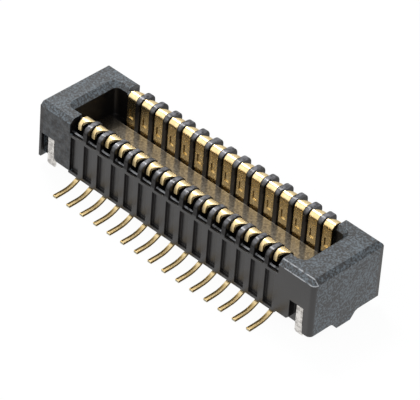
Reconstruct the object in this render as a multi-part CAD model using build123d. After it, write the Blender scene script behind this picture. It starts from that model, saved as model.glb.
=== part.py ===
from build123d import *
import os

os.makedirs("parts", exist_ok=True)

# Sizes are in millimetres. X runs along the rows, Z is up from the board, and the front row lies
# towards -Y. The rear row and its wall are the front ones turned half round about Z.

# Contact grid
contacts_per_row = 15
pitch = 0.50
half_grid = (contacts_per_row - 1) * pitch / 2
contact_columns = [i * pitch - half_grid for i in range(contacts_per_row)]

# Clearances
slot_clearance = 0.027
strip_clearance = 0.01
nail_clearance = 0.01
hook_clearance = 0.02

# How far cuts run past the faces that they open, and joined solids into each other
overrun = 0.2
seam = 0.1

# Contact strip; "out" sizes are measured from the centre plane between the rows, and "drop" sizes
# down from the contact's top. The bend at the lead's heel takes up at most its share of the slope.
strip_thickness = 0.07
contact_width = 0.31
contact_face_out = 0.69
contact_span = 0.41
contact_reach_out = contact_face_out + contact_span
contact_top = 1.99
bend_radius = 0.10
bend_chamfer = 0.065
hook_radius = 0.20
hook_width = 0.12
hook_length = 0.07
hook_end_drop = 0.28
blade_foot = 0.62
lead_width = 0.13
lead_top = 0.275
lead_knee_out = 1.10
foot_heel_out = 1.41
foot_tip_out = 2.00
heel_radius = 0.85
heel_share = 0.95
coin_width = 0.145
coin_top_drop = 0.47
coin_height = 0.28
coin_depth = 0.03

# Housing body; outside the contacts its long walls have a rib, a groove and a rim
end_margin = 1.40
body_half_length = half_grid + end_margin
rib_thickness = 0.05
rib_inner_out = contact_reach_out + hook_clearance
rib_outer_out = rib_inner_out + rib_thickness
groove_width = 0.045
groove_outer_out = rib_outer_out + groove_width
rim_thickness = 0.045
body_half_width = groove_outer_out + rim_thickness
body_top = 1.985
block_bottom = 0.225
wall_bottom = 0.30
corner_radius = 0.14
edge_chamfer = 0.135
rear_chamfer = 0.10
left_chamfer = 0.04

# Trough and its lead-in
floor_top = 1.0
floor_gap = 0.07
floor_half_width = contact_face_out - floor_gap
trough_left = body_half_length - 0.72
trough_right = body_half_length - 0.87
trough_half_width = 0.80
trough_corner = 0.15
lead_in_left = 0.18
lead_in_right = 0.12
lead_in_front = 0.05
lead_in_rear = 0.10
lead_in_depth = 0.13

# Fins between the contacts
cell_width = contact_width + 2 * slot_clearance
first_cell_extra = 0.10
region_left = -half_grid - cell_width / 2 - first_cell_extra
region_right = half_grid + cell_width / 2
fin_proud = 0.05
fin_face_out = contact_face_out - fin_proud
fin_rise = 0.02
fin_top = contact_top + fin_rise
fin_inner_radius = 0.21
fin_outer_radius = 0.22
fin_step = 0.025
fin_shoulder_out = body_half_width - fin_step
fin_shoulder_drop = 0.27
fin_foot_rise = 0.02

# Core of the wall, which the contacts bend over, and the ledge outside it
core_face_out = contact_face_out + strip_thickness + strip_clearance
core_back_out = contact_reach_out - hook_radius - strip_clearance
core_top = contact_top - strip_thickness - strip_clearance
core_edge_gap = 0.025
core_edge = bend_radius - core_edge_gap
pocket_bottom = 1.30
rib_top = 1.60
groove_bottom = 1.51
rim_top = 1.56

# Recessed panels in the outer wall
panel_depth = 0.09
panel_left = 0.245
panel_width = 0.31
panel_bottom = 0.395
panel_top = 1.47

# Notches and hold-down nails: distances are from the end face of the body
notch_depth = 0.21
notch_top = 1.0
notch_left_start = 0.08
notch_left_end = 0.58
notch_right_start = 0.28
notch_right_end = 0.76
nail_left = 0.36
nail_right = 0.48
nail_width = 0.23
nail_thickness = 0.12
nail_recess = 0.09
nail_edge = 0.04
nail_toe_run = 0.06
nail_toe_rise = 0.11
nail_crease_heights = (0.43, 0.78)
nail_crease = 0.012
nail_shoulder_width = 0.33
nail_top = 1.45
strip_bottom = 0.37
strip_corner = 0.07

# Standoff boss under each end
boss_length = 0.55
boss_foot_half = 0.25
boss_root_half = 0.41
boss_root = 0.19
boss_flare_half = 0.50


def across(*points):
    """Section points, given as distance out from the centre plane and height, for the front."""
    return [(-out, height) for out, height in points]


def along_x(section, start, length):
    """Extrude a section across the rows along X from a start position."""
    return Pos(start, 0, 0) * extrude(Plane.YZ * section, length)


def zone(out_low, out_high, low, high):
    """A rectangle of the section, by its distances out and its heights."""
    width, height = out_high - out_low, high - low
    return Pos(-(out_low + out_high) / 2, (low + high) / 2) * Rectangle(width, height)


def turned(shape):
    """The same shape in the rear row."""
    return Rot(0, 0, 180) * shape


def formed(line, thickness):
    """Outline of a strip bent along a line of points: the line, and its right side, mitred."""
    line = [Vector(*point) for point in line]
    normals = [(b - a).normalized().rotate(Axis.Z, -90) for a, b in zip(line, line[1:])]
    mitres = [(m + n) * (1 / (1 + m.dot(n))) for m, n in zip(normals, normals[1:])]
    mitres = [normals[0], *mitres, normals[-1]]
    side = [point + mitre * thickness for point, mitre in zip(line, mitres)]
    return line + side[::-1]


def corner(section, level, end):
    """One corner of a section: level -1 is the highest, end 0 the outermost."""
    return section.vertices().group_by(Axis.Y)[level].sort_by(Axis.X)[end]


# One contact, centred on X = 0. Its top tapers at one side, at 45 degrees, to the hook.
def contact():
    inside = contact_face_out + strip_thickness
    hook_inside = contact_reach_out - strip_thickness
    crown = contact_top - strip_thickness
    hook_end = contact_top - hook_end_drop
    line = across(
        (foot_tip_out, strip_thickness),
        (foot_heel_out, strip_thickness),
        (lead_knee_out, lead_top),
        (inside, lead_top),
        (inside, crown),
        (hook_inside, crown),
        (hook_inside, hook_end),
    )
    section = make_face(Polyline(*formed(line, strip_thickness), close=True))
    section = fillet(corner(section, -2, 0), hook_radius - strip_thickness)
    section = chamfer(corner(section, -2, -1), bend_chamfer)
    section = fillet(corner(section, -1, 0), hook_radius)
    section = fillet(corner(section, -1, -1), bend_radius + strip_thickness)

    slope_run = foot_heel_out - lead_knee_out
    slope_rise = lead_top - strip_thickness
    slope = (slope_run**2 + slope_rise**2) ** 0.5
    longest_bend = slope * (slope + slope_run) / slope_rise
    heel = min(heel_radius, heel_share * longest_bend - strip_thickness)
    section = fillet(corner(section, 1, -1), heel)
    section = fillet(corner(section, 0, -1), heel + strip_thickness)
    strip = along_x(section, -contact_width / 2, contact_width)

    right = contact_width / 2
    hook_right = hook_width - right
    root_out = contact_reach_out - hook_length
    taper_out = root_out - (right - hook_right)
    beyond = foot_tip_out + overrun
    plan = Polyline(
        (right, -taper_out),
        (hook_right, -root_out),
        (hook_right, -beyond),
        (right + overrun, -beyond),
        (right + overrun, -taper_out),
        close=True,
    )
    low = (blade_foot + hook_end) / 2
    beside_hook = Pos(0, 0, low) * extrude(make_face(plan), contact_top + overrun - low)
    shoulder = right - lead_width / 2
    lead_zone = zone(0, beyond, -overrun, blade_foot)
    beside_lead = along_x(lead_zone, lead_width / 2, shoulder + overrun)
    coin = Box(coin_width, 2 * coin_depth, coin_height)
    coin = Pos(0, -contact_face_out, contact_top - coin_top_drop - coin_height / 2) * coin
    return strip - [beside_hook, beside_lead, mirror(beside_lead, Plane.YZ), coin]


# One hold-down nail of the front, centred on X = 0
def nail():
    face = body_half_width - nail_recess
    back = face - nail_thickness
    outline = [(back, nail_top), (back, nail_edge), (back + nail_edge, 0)]
    outline += [(face - nail_toe_run, 0), (face, nail_toe_rise)]
    for height in nail_crease_heights:
        outline.append((face, height - nail_crease))
        outline.append((face - nail_crease, height))
        outline.append((face, height + nail_crease))
    outline.append((face, nail_top))
    section = make_face(Polyline(*across(*outline), close=True))
    body = along_x(section, -nail_shoulder_width / 2, nail_shoulder_width)
    waist = (nail_shoulder_width - nail_width) / 2
    shoulder = notch_top + nail_clearance
    side = Box(waist, 2 * nail_thickness, shoulder)
    side = Pos((nail_width + waist) / 2, -(face + back) / 2, shoulder / 2) * side
    return body - [side, mirror(side, Plane.YZ)]


# Section of a fin and of the wall under it
def wall_section():
    points = across(
        (fin_face_out, floor_top - seam),
        (fin_face_out, fin_top),
        (fin_shoulder_out, fin_top),
        (fin_shoulder_out, fin_top - fin_shoulder_drop),
        (body_half_width, rim_top + fin_foot_rise),
        (body_half_width, floor_top - seam),
    )
    section = make_face(Polyline(*points, close=True))
    section = fillet(corner(section, -1, 0), fin_outer_radius)
    return fillet(corner(section, -1, -1), fin_inner_radius)


# Space of one contact in that wall: its slot, the pocket behind the core and the open ledge
def cell_section():
    above = fin_top + overrun
    beyond = body_half_width + overrun
    corners = across(
        (floor_half_width, -overrun),
        (floor_half_width, above),
        (beyond, above),
        (beyond, rim_top),
        (groove_outer_out, rim_top),
        (groove_outer_out, groove_bottom),
        (rib_outer_out, groove_bottom),
        (rib_outer_out, rib_top),
        (rib_inner_out, rib_top),
        (rib_inner_out, pocket_bottom),
        (core_back_out, pocket_bottom),
        (core_back_out, core_top),
        (core_face_out + core_edge, core_top),
        (core_face_out, core_top - core_edge),
        (core_face_out, -overrun),
    )
    return make_face(Polyline(*corners, close=True))


# Recessed panel
def panel():
    floor_out = body_half_width - panel_depth
    section = zone(floor_out, body_half_width + overrun, panel_bottom, panel_top)
    return along_x(section, -panel_left, panel_width)


# Notch and slot of one nail, and the raised strip between the notch and the contacts
def nail_space(notch_outer, notch_inner, nail_middle, region_end):
    width = abs(notch_outer - notch_inner)
    notch = Box(width, 2 * notch_depth, 2 * notch_top)
    notch = Pos((notch_outer + notch_inner) / 2, -body_half_width, 0) * notch
    slot = Box(
        nail_shoulder_width + 2 * nail_clearance,
        nail_thickness + 2 * nail_clearance,
        nail_top + nail_clearance,
    )
    slot_out = body_half_width - nail_recess - nail_thickness / 2
    slot = Pos(nail_middle, -slot_out, (nail_top + nail_clearance) / 2) * slot
    side = 1 if region_end > notch_inner else -1
    profile = Polyline(
        (notch_inner, 0),
        (notch_inner, strip_bottom + strip_corner),
        (notch_inner + side * strip_corner, strip_bottom),
        (region_end, strip_bottom),
        (region_end, 0),
        close=True,
    )
    strip = extrude(Plane.XZ * make_face(profile), notch_depth + overrun)
    return notch + slot + Pos(0, -body_half_width + notch_depth, 0) * strip


def front_nail_positions():
    return (nail_left - body_half_length, body_half_length - nail_right)


def cells():
    """Spaces of the front contacts; the first one is wider at its left."""
    section = cell_section()
    first = along_x(section, region_left, first_cell_extra + cell_width)
    rest = [along_x(section, x - cell_width / 2, cell_width) for x in contact_columns[1:]]
    return [first, *rest]


def outer_cuts():
    """Panels of the front, and the spaces of its nails."""
    left_nail, right_nail = front_nail_positions()
    left = nail_space(
        notch_left_start - body_half_length,
        notch_left_end - body_half_length,
        left_nail,
        region_left,
    )
    right = nail_space(
        body_half_length - notch_right_start,
        body_half_length - notch_right_end,
        right_nail,
        region_right,
    )
    one_panel = panel()
    return [left, right] + [Pos(x, 0, 0) * one_panel for x in contact_columns]


# Trough with its lead-in
def trough():
    def outline(left, right, front, rear, radius):
        middle = Pos((right - left) / 2, (rear - front) / 2)
        return middle * RectangleRounded(left + right, front + rear, radius)

    neck = outline(trough_left, trough_right, trough_half_width, trough_half_width, trough_corner)
    mouth = outline(
        trough_left + lead_in_left,
        trough_right + lead_in_right,
        trough_half_width + lead_in_front,
        trough_half_width + lead_in_rear,
        trough_corner + lead_in_rear,
    )
    neck_top = body_top - lead_in_depth
    shaft = Pos(0, 0, floor_top) * extrude(neck, neck_top - floor_top)
    lead_in = loft([Pos(0, 0, neck_top) * neck, Pos(0, 0, body_top) * mouth], ruled=True)
    return shaft + lead_in


# Standoff boss of the right end
def boss():
    points = [
        (-boss_flare_half, block_bottom),
        (-boss_root_half, boss_root),
        (-boss_foot_half, 0),
        (boss_foot_half, 0),
        (boss_root_half, boss_root),
        (boss_flare_half, block_bottom),
        (boss_flare_half, block_bottom + seam),
        (-boss_flare_half, block_bottom + seam),
    ]
    section = make_face(Polyline(*points, close=True))
    return along_x(section, body_half_length - boss_length, boss_length)


# Outer block, with one corner rounded in plan and its top edges bevelled
def block():
    plan = Rectangle(2 * body_half_length, 2 * body_half_width)
    front_right = plan.vertices().group_by(Axis.Y)[0].sort_by(Axis.X)[-1]
    plan = fillet(front_right, corner_radius)
    body = Pos(0, 0, block_bottom) * extrude(plan, body_top - block_bottom)
    edges = body.faces().sort_by(Axis.Z)[-1].edges()
    rear = edges.sort_by(Axis.Y)[-1]
    left = edges.sort_by(Axis.X)[0]
    front_and_right = [edge for edge in edges if edge not in (rear, left)]
    body = chamfer(front_and_right, edge_chamfer)
    rear = body.faces().sort_by(Axis.Z)[-1].edges().sort_by(Axis.Y)[-1]
    body = chamfer(rear, rear_chamfer)
    left = body.faces().sort_by(Axis.Z)[-1].edges().sort_by(Axis.X)[0]
    return chamfer(left, left_chamfer)


def housing():
    body = block() - trough()

    length = region_right - region_left
    middle = (region_left + region_right) / 2
    across_body = 2 * (body_half_width + overrun)
    window = Box(length, across_body, body_top + overrun - floor_top)
    window = Pos(middle, 0, (floor_top + body_top + overrun) / 2) * window
    underside = Pos(middle, 0, 0) * Box(length, across_body, 2 * wall_bottom)
    body -= [window, underside]

    wall = along_x(wall_section(), region_left, length)
    body += [wall, mirror(wall, Plane.XZ), boss(), turned(boss())]

    front = cells()
    body -= front + [mirror(cell, Plane.XZ) for cell in front]
    front = outer_cuts()
    return body - (front + [turned(cut) for cut in front])


def save(shape, name):
    shape.label = name
    export_step(shape, f"parts/{name}.step")


save(housing(), "housing")
one_contact = contact()
for number, x in enumerate(contact_columns, start=1):
    front_contact = Pos(x, 0, 0) * one_contact
    save(front_contact, f"contact_front_{number:02d}")
    save(turned(front_contact), f"contact_rear_{contacts_per_row + 1 - number:02d}")
one_nail = nail()
for x, near, far in zip(front_nail_positions(), ("left", "right"), ("right", "left")):
    front_nail = Pos(x, 0, 0) * one_nail
    save(front_nail, f"nail_front_{near}")
    save(turned(front_nail), f"nail_rear_{far}")
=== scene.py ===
import bpy, math
from mathutils import Matrix, Vector

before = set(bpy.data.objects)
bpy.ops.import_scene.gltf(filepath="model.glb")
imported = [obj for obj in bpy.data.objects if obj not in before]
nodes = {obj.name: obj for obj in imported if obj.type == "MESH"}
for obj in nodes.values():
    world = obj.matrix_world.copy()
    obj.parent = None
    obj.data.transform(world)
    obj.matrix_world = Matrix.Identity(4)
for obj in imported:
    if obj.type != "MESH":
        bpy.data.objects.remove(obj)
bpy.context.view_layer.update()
scene = bpy.context.scene
MM = 0.001

# The photograph's camera: image right, image down and view direction in the part's frame, its
# place in millimetres, and its focal length and the photograph's width in pixels
RIGHT = (0.70890776, 0.70263379, 0.06128250)
DOWN = (0.47190780, -0.40795295, -0.78158647)
AHEAD = (-0.52416869, 0.58299241, -0.62077938)
EYE = (47.236058, -52.413056, 56.877884)
FOCAL_PIXELS = 3526.4776
PHOTO_PIXELS = 420
SENSOR_WIDTH = 36

# Places on the part that its materials follow, in millimetres. END is a distance from the middle
# along the rows, EDGE, INNER, OUTER and HALF_WIDTH are distances out from the plane between the
# rows, TOP and BOTTOM are heights, and CREST and SIDE are distances from a fin's middle plane.
BODY_END = 4.9
BODY_HALF_WIDTH = 1.26
PITCH = 0.50
CONTACT_END = 3.68
FLOOR_TOP = 1.0
FLOOR_EDGE = 0.62
TROUGH_HALF_WIDTH = 0.80
TROUGH_END = 4.25
LEAD_IN_BOTTOM = 1.855
RECESS_END = 4.74
CORNER_INNER = 1.12
CORNER_END = 4.77
RIB_TOP = 1.60
RIB_INNER = 1.115
RIB_OUTER = 1.175
POCKET_INNER = 0.90
SHADE_TOP = 1.85
CROWN_BOTTOM = 1.90
CROWN_TOP = 1.98
FIN_CREST = 0.024
FIN_SIDE = 0.050
FOOT_TOP = 0.12
HEEL_TOP = 0.20
HOOK_INNER = 0.90
HOOK_OUTER = 1.00
HOOK_BOTTOM = 1.6

# The front right chamfer's upper edge, by its y, and its lower edge, by its height; half widths of
# the painted highlight lines there, and how far beyond the edges they may reach
CHAMFER_INNER_Y = -1.125
CHAMFER_BOTTOM = 1.85
UPPER_LINE = 0.014
LOWER_LINE = 0.012
LINE_REACH = 0.02

# Widths of a hard mask's margin and of a soft one's edge
MARGIN = 0.01
BLEND = 0.04

# Largest share of metal in the black plastic: it takes most of the mirroring from the places that
# the photograph shows black. The polished floor has a share of its own.
BLACKEST = 0.62
FLOOR_METAL = 0.40
PLAIN_ROUGHNESS = 0.32
FLOOR_ROUGHNESS = 0.17

# Strengths of the stage, where 1 is white: the floor to the eye and, beside the part, in
# reflections, where it falls away between two distances in millimetres; the sky in reflections, at
# the horizon and its rise to the zenith; and the even light from all round
SEEN_FLOOR = 0.95
NEAR_FLOOR = 0.92
FALL_START = 1.3
FALL_END = 5.0
FALL = -0.42
HORIZON = 0.55
ZENITH_RISE = 0.40
FILL = 0.50


def camera():
    data = bpy.data.cameras.new("camera")
    data.sensor_width = SENSOR_WIDTH
    data.lens = FOCAL_PIXELS / PHOTO_PIXELS * data.sensor_width
    data.clip_start, data.clip_end = 0.005, 5
    cam = bpy.data.objects.new("camera", data)
    scene.collection.objects.link(cam)
    right, up, back = Vector(RIGHT), -Vector(DOWN), -Vector(AHEAD)
    turn = Matrix((right, up, back)).transposed().to_4x4()
    cam.matrix_world = Matrix.Translation(Vector(EYE) * MM) @ turn
    scene.camera = cam


def lamp(name, towards, distance, size, level):
    """A square soft lamp in a direction from the part; level is what it adds to a white surface."""
    data = bpy.data.lights.new(name, "AREA")
    data.shape, data.size = "SQUARE", size
    data.energy = level * (math.pi * distance) ** 2
    obj = bpy.data.objects.new(name, data)
    scene.collection.objects.link(obj)
    direction = Vector(towards).normalized()
    obj.location = direction * distance
    obj.rotation_mode = "QUATERNION"
    obj.rotation_quaternion = direction.to_track_quat("Z", "Y")


class Nodes:
    """Short words for building the nodes of a material or of the world. A mask is 1 on a place."""

    def __init__(self, owner, output="ShaderNodeOutputMaterial"):
        self.material = owner
        owner.use_nodes = True
        self.tree = owner.node_tree
        self.tree.nodes.clear()
        self.output = self.add(output)

    def add(self, kind, inputs=None, **settings):
        node = self.tree.nodes.new(kind)
        for key, value in settings.items():
            setattr(node, key, value)
        for key, value in (inputs or {}).items():
            if isinstance(value, bpy.types.NodeSocket):
                self.tree.links.new(value, node.inputs[key])
            else:
                node.inputs[key].default_value = value
        return node

    def math(self, operation, a, b=0.0, c=0.0, clamp=False):
        inputs = {0: a, 1: b, 2: c}
        return self.add("ShaderNodeMath", inputs, operation=operation, use_clamp=clamp).outputs[0]

    def absolute(self, value):
        return self.math("ABSOLUTE", value)

    def times(self, a, b):
        return self.math("MULTIPLY", a, b)

    def plus(self, value, mask, amount):
        """The value, raised by the amount as the mask goes to 1."""
        return self.math("MULTIPLY_ADD", mask, amount, value)

    def below(self, value, limit):
        return self.math("LESS_THAN", value, limit)

    def above(self, value, limit):
        return self.math("GREATER_THAN", value, limit)

    def near(self, value, middle, reach):
        return self.math("COMPARE", value, middle, reach)

    def every(self, mask, *others):
        """Where all the masks are."""
        for other in others:
            mask = self.times(mask, other)
        return mask

    def either(self, mask, *others):
        """Where any of the masks is."""
        for other in others:
            mask = self.math("MAXIMUM", mask, other)
        return mask

    def but(self, mask):
        """Everywhere but where the mask is."""
        return self.math("SUBTRACT", 1.0, mask)

    def ramp(self, value, low, high):
        """0 up to low, 1 from high on, smooth between; with low over high it falls instead."""
        inputs = {"Value": value, "From Min": low, "From Max": high}
        return self.add("ShaderNodeMapRange", inputs, interpolation_type="SMOOTHSTEP").outputs[0]

    def place(self):
        """Object coordinates in millimetres, as one vector."""
        where = self.add("ShaderNodeTexCoord").outputs["Object"]
        inputs = {"Vector": where, "Scale": [1 / MM] * 3}
        return self.add("ShaderNodeMapping", inputs).outputs[0]

    def parts(self, vector):
        """The x, y and z of a vector."""
        return self.add("ShaderNodeSeparateXYZ", {0: vector}).outputs

    def facing(self):
        """The x, y and z of the flat faces' normals."""
        return self.parts(self.add("ShaderNodeNewGeometry").outputs["True Normal"])

    def noise(self, scale, detail=3.0, rough=0.55):
        inputs = {"Vector": self.place(), "Scale": scale, "Detail": detail, "Roughness": rough}
        return self.add("ShaderNodeTexNoise", inputs).outputs["Fac"]

    def spots(self, low, high, *noise):
        """A noise stretched to 0 up to low and 1 from high on."""
        return self.ramp(self.noise(*noise), low, high)

    def mix(self, share, a, b):
        """Colour a, going to b as share goes to 1."""
        node = self.add("ShaderNodeMix", {"Factor": share}, data_type="RGBA")
        first_colour, second_colour, mixed_colour = node.inputs[6], node.inputs[7], node.outputs[2]
        for socket, value in ((first_colour, a), (second_colour, b)):
            if isinstance(value, bpy.types.NodeSocket):
                self.tree.links.new(value, socket)
            else:
                socket.default_value = (*value, 1)
        return mixed_colour

    def bump(self, height, strength, depth):
        inputs = {"Height": height, "Strength": strength, "Distance": depth * MM}
        return self.add("ShaderNodeBump", inputs).outputs[0]

    def blend(self, share, a, b):
        """The tree's result: shader a, going to b as share goes to 1."""
        final = self.add("ShaderNodeMixShader", {0: share, 1: a.outputs[0], 2: b.outputs[0]})
        self.tree.links.new(final.outputs[0], self.output.inputs[0])

    def surface(self, **inputs):
        inputs = {key.replace("_", " "): value for key, value in inputs.items()}
        shader = self.add("ShaderNodeBsdfPrincipled", inputs)
        self.tree.links.new(shader.outputs[0], self.output.inputs[0])
        return self.material


def housing_plastic():
    """Black glass-filled plastic: flecked end blocks, smoother flanks, a polished trough floor
    coloured with a painted hazy reflection.
    """
    n = Nodes(bpy.data.materials.new("housing_plastic"))
    x, y, z = n.parts(n.place())
    out, along = n.absolute(y), n.absolute(x)
    facing_x, facing_y, facing_z = n.facing()

    # Places: the end blocks, the contact walls between them, the long sides, the space of the
    # trough, and the faces that look along the rows in the trough and the notches
    block = n.ramp(along, CONTACT_END, CONTACT_END + BLEND)
    wall = n.but(block)
    flank = n.ramp(n.absolute(facing_y), 0.75, 0.95)
    sunk = n.below(z, LEAD_IN_BOTTOM)
    within = n.below(along, TROUGH_END)
    inside = n.every(n.below(out, TROUGH_HALF_WIDTH + MARGIN), sunk, within)
    recess = n.every(n.above(n.absolute(facing_x), 0.9), n.below(along, RECESS_END))
    corner = n.every(n.ramp(out, CORNER_INNER, CORNER_INNER + 0.05), n.above(along, CORNER_END))

    # Pale flecks on the end blocks, faint on the left one's flank and missing on the right one's
    smooth = n.every(flank, n.ramp(x, -CONTACT_END - 0.3, -CONTACT_END))
    smooth = n.either(smooth, n.times(flank, 0.75))
    # Leaving the flecks out inside the trough, and on the faces there and in the notches that look
    # along the rows, is painted shade; low on the rounded vertical corners it makes them darker.
    smooth_and_shaded = n.either(smooth, inside, recess, n.every(corner, n.below(z, SHADE_TOP)))
    flecked = n.every(block, n.but(smooth_and_shaded))
    grain = n.math("ADD", n.noise(17, 3, 0.6), n.plus(-0.12, n.noise(1.4, 2), 0.24))
    pale = n.mix(n.noise(0.9), (0.130, 0.165, 0.195), (0.090, 0.115, 0.135))
    black = n.mix(n.noise(1.6), (0.006, 0.005, 0.005), (0.014, 0.012, 0.012))
    body = n.mix(n.every(n.ramp(grain, 0.40, 0.66), flecked), black, pale)

    # Painted highlights, as pale lines on the walls' ribs and on both edges of the front right
    # chamfer
    rib = n.near(out, (RIB_INNER + RIB_OUTER) / 2, (RIB_OUTER - RIB_INNER) / 2)
    rib = n.every(rib, n.near(z, RIB_TOP, 0.03), wall)
    chamfer = n.every(
        n.either(n.near(y, CHAMFER_INNER_Y, UPPER_LINE), n.near(z, CHAMFER_BOTTOM, LOWER_LINE)),
        n.below(y, CHAMFER_INNER_Y + LINE_REACH),
        n.above(z, CHAMFER_BOTTOM - LINE_REACH),
        n.above(x, CONTACT_END),
    )
    painted_edge_highlight = n.either(n.times(chamfer, 1.5), rib)
    painted_edge_highlight = n.math("MULTIPLY", painted_edge_highlight, n.spots(0.30, 0.60, 6), clamp=True)
    body = n.mix(painted_edge_highlight, body, (0.42, 0.43, 0.45))

    # Fins: painted highlights in patches on their crowns
    painted_crown_highlight = n.every(n.ramp(z, CROWN_BOTTOM, CROWN_TOP), wall, n.spots(0.30, 0.65, 7))
    body = n.mix(painted_crown_highlight, body, (0.20, 0.20, 0.22))

    # Shade: pockets behind the hooks, the fins' sides and edges, the blocks' inner walls, and
    # mottling on the left block's flank
    behind = n.either(n.above(z, RIB_TOP + MARGIN), n.below(out, RIB_INNER))
    pocket = n.every(n.above(out, POCKET_INNER), n.below(z, SHADE_TOP), behind, wall)
    from_contact = n.math("PINGPONG", x, PITCH / 2)
    fin_edge = n.ramp(from_contact, PITCH / 2 - FIN_CREST, PITCH / 2 - FIN_SIDE)
    fin_edge = n.every(fin_edge, n.above(z, RIB_TOP + 0.05), wall)
    hidden = n.every(n.either(inside, n.every(recess, sunk)), block)
    mottled = n.every(n.spots(0.30, 0.70, 5), n.times(flank, 0.85))
    mottled = n.every(mottled, n.ramp(x, -CONTACT_END, -CONTACT_END - BLEND))
    shaded = n.times(n.either(pocket, fin_edge, hidden, mottled), BLACKEST)
    shaded = n.plus(shaded, hidden, -0.16)

    # Trough floor: polished, coloured with a painted hazy reflection, with a painted highlight on
    # its rim and painted shade at its left end
    painted_rim = n.ramp(out, FLOOR_EDGE - 0.035, FLOOR_EDGE - 0.015)
    level = n.every(n.below(z, FLOOR_TOP + MARGIN), within, n.below(out, FLOOR_EDGE + 0.005))
    floor = n.every(level, n.either(n.above(facing_z, 0.7), painted_rim))
    painted_reflection_haze = n.mix(n.spots(0.3, 0.7, 14, 4, 0.7), (0.17, 0.145, 0.11), (0.44, 0.38, 0.30))
    painted_reflection_haze = n.mix(painted_rim, painted_reflection_haze, (0.50, 0.44, 0.36))
    left_end_shade = n.ramp(x, -CONTACT_END + 0.2, -CONTACT_END - 0.4)
    painted_reflection_haze = n.mix(left_end_shade, painted_reflection_haze, (0.05, 0.042, 0.034))

    metal = n.plus(shaded, floor, FLOOR_METAL)
    rough = n.plus(PLAIN_ROUGHNESS, flecked, 0.12)
    return n.surface(
        Base_Color=n.mix(floor, body, painted_reflection_haze),
        Metallic=n.math("MINIMUM", metal, BLACKEST),
        Roughness=n.plus(rough, floor, n.math("SUBTRACT", FLOOR_ROUGHNESS, rough)),
        Specular_IOR_Level=0.75,
        Normal=n.bump(n.noise(14, 4, 0.65), 0.30, 0.005),
    )


def gold_plating():
    """Bright gold, dull on sheared sides and tips, with a painted dark reflection on one half of
    each foot and the other half matt.
    """
    n = Nodes(bpy.data.materials.new("gold_plating"))
    x, y, z = n.parts(n.place())
    facing_x, facing_y, _ = n.facing()
    fine = n.noise(30, 3, 0.6)

    sheared = n.ramp(n.absolute(facing_x), 0.80, 0.95)
    tip = n.every(n.below(z, FOOT_TOP), n.ramp(n.absolute(facing_y), 0.80, 0.95))
    hook = n.every(n.ramp(n.absolute(y), HOOK_INNER, HOOK_OUTER), n.above(z, HOOK_BOTTOM))

    # Halves of a foot, by the side of its own contact's middle that they lie on
    foot = n.but(n.ramp(z, FOOT_TOP, HEEL_TOP))
    middle = n.times(n.math("ROUND", n.math("DIVIDE", x, PITCH)), PITCH)
    across = n.times(n.math("SUBTRACT", middle, x), n.math("SIGN", y))
    half = n.ramp(across, -0.020, 0.020)
    painted_dark_reflection, matt = n.every(foot, n.but(half)), n.every(foot, half)

    gold = n.mix(n.spots(0.35, 0.65, 9, 3, 0.6), (0.80, 0.61, 0.30), (0.89, 0.72, 0.42))
    # Painted dark reflection on one half of each foot
    gold = n.mix(painted_dark_reflection, gold, (0.33, 0.22, 0.07))
    gold = n.mix(sheared, gold, n.mix(fine, (0.07, 0.045, 0.012), (0.22, 0.15, 0.05)))
    gold = n.mix(tip, gold, (0.42, 0.39, 0.28))

    rough = n.plus(0.20, fine, 0.14)
    rough = n.plus(rough, matt, 0.36)
    rough = n.plus(rough, hook, 0.22)
    return n.surface(
        Base_Color=gold,
        Metallic=1.0,
        Roughness=n.plus(rough, sheared, 0.15),
        Normal=n.bump(fine, 0.22, 0.002),
    )


def tin_plating():
    """Matt tin on the hold-down nails, mottled."""
    n = Nodes(bpy.data.materials.new("tin_plating"))
    spots = n.spots(0.38, 0.60, 10, 4, 0.7)
    return n.surface(
        Base_Color=n.mix(spots, (0.42, 0.40, 0.38), (0.79, 0.765, 0.73)),
        Metallic=1.0,
        Roughness=n.plus(0.30, spots, 0.15),
        Normal=n.bump(spots, 0.3, 0.004),
    )


def dress(obj, material, edge, angle=35, flatten=True):
    """Gives a CAD node its material, and rounds its edges by a width in millimetres."""
    mesh = obj.data
    mesh.materials.clear()
    mesh.materials.append(material)
    for name in ("custom_normal", "sharp_edge"):
        if name in mesh.attributes:
            mesh.attributes.remove(mesh.attributes[name])
    mesh.polygons.foreach_set("use_smooth", [True] * len(mesh.polygons))
    weld = obj.modifiers.new("weld", "WELD")
    weld.merge_threshold = 0.0002 * MM
    if flatten:
        flat = obj.modifiers.new("flat", "DECIMATE")
        flat.decimate_type, flat.angle_limit = "DISSOLVE", math.radians(2)
    bevel = obj.modifiers.new("edges", "BEVEL")
    bevel.width, bevel.segments = edge * MM, 2
    bevel.limit_method, bevel.angle_limit = "ANGLE", math.radians(angle)
    bevel.use_clamp_overlap = False
    bevel.harden_normals = True


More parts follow.
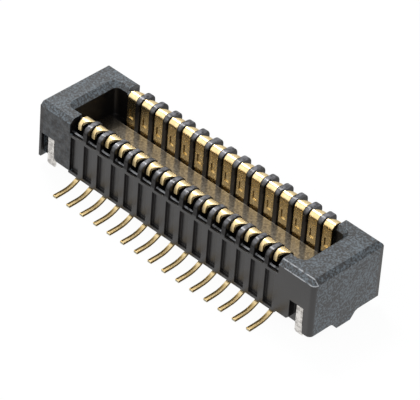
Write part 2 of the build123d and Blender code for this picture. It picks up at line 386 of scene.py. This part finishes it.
def pale_floor():
    """White to the eye but for a faint shadow; in reflections it darkens away from the part."""
    n = Nodes(bpy.data.materials.new("pale_floor"))
    ray = n.add("ShaderNodeLightPath").outputs
    seen = n.either(ray["Is Camera Ray"], ray["Is Transmission Ray"])
    x, y, _ = n.parts(n.place())
    beside = n.math("SUBTRACT", n.absolute(x), BODY_END)
    beside = n.either(beside, n.math("SUBTRACT", n.absolute(y), BODY_HALF_WIDTH))
    reflected = n.plus(NEAR_FLOOR, n.ramp(beside, FALL_START, FALL_END), FALL)
    glow = n.plus(reflected, seen, n.math("SUBTRACT", SEEN_FLOOR, reflected))
    shadow = n.add("ShaderNodeBsdfDiffuse", {"Color": (0.065, 0.065, 0.065, 1)})
    glow = n.add("ShaderNodeEmission", {"Color": (1, 1, 1, 1), "Strength": glow})
    both = n.add("ShaderNodeAddShader", {0: shadow.outputs[0], 1: glow.outputs[0]})
    lit = n.add("ShaderNodeBsdfDiffuse", {"Color": (0.8, 0.8, 0.8, 1)})
    n.blend(n.either(seen, ray["Is Glossy Ray"]), lit, both)
    bpy.ops.mesh.primitive_plane_add(size=0.8, location=(0, 0, -0.004 * MM))
    floor = bpy.context.object
    floor.name = "floor"
    floor.data.materials.append(n.material)


def surroundings():
    """White behind the part; reflections see a sky that is dim at the horizon; a soft fill."""
    scene.world = bpy.data.worlds.new("studio")
    n = Nodes(scene.world, "ShaderNodeOutputWorld")
    ray = n.add("ShaderNodeLightPath").outputs
    seen = n.either(ray["Is Camera Ray"], ray["Is Transmission Ray"])
    height = n.parts(n.add("ShaderNodeTexCoord").outputs["Generated"])[2]
    sky = n.plus(HORIZON, n.ramp(height, 0.0, 1.0), ZENITH_RISE)
    bright = n.either(seen, sky)
    shown = n.add("ShaderNodeBackground", {"Color": (1, 1, 1, 1), "Strength": bright})
    fill = n.add("ShaderNodeBackground", {"Color": (0.96, 0.98, 1.0, 1), "Strength": FILL})
    n.blend(n.either(seen, ray["Is Glossy Ray"]), fill, shown)


scene.view_settings.view_transform = "Standard"
camera()
pale_floor()
surroundings()
lamp("key", towards=(-0.53, 0.24, 0.81), distance=0.12, size=0.032, level=0.34)
lamp("soft", towards=(-0.50, -0.75, 0.45), distance=0.12, size=0.15, level=0.35)
lamp("fill", towards=(0.8, -0.5, 0.5), distance=0.15, size=0.10, level=0.15)

plastic, gold, tin = housing_plastic(), gold_plating(), tin_plating()
for name, obj in nodes.items():
    if name == "housing":
        dress(obj, plastic, edge=0.008)
    elif name.startswith("contact"):
        dress(obj, gold, edge=0.014, angle=50, flatten=False)
    else:
        dress(obj, tin, edge=0.012)
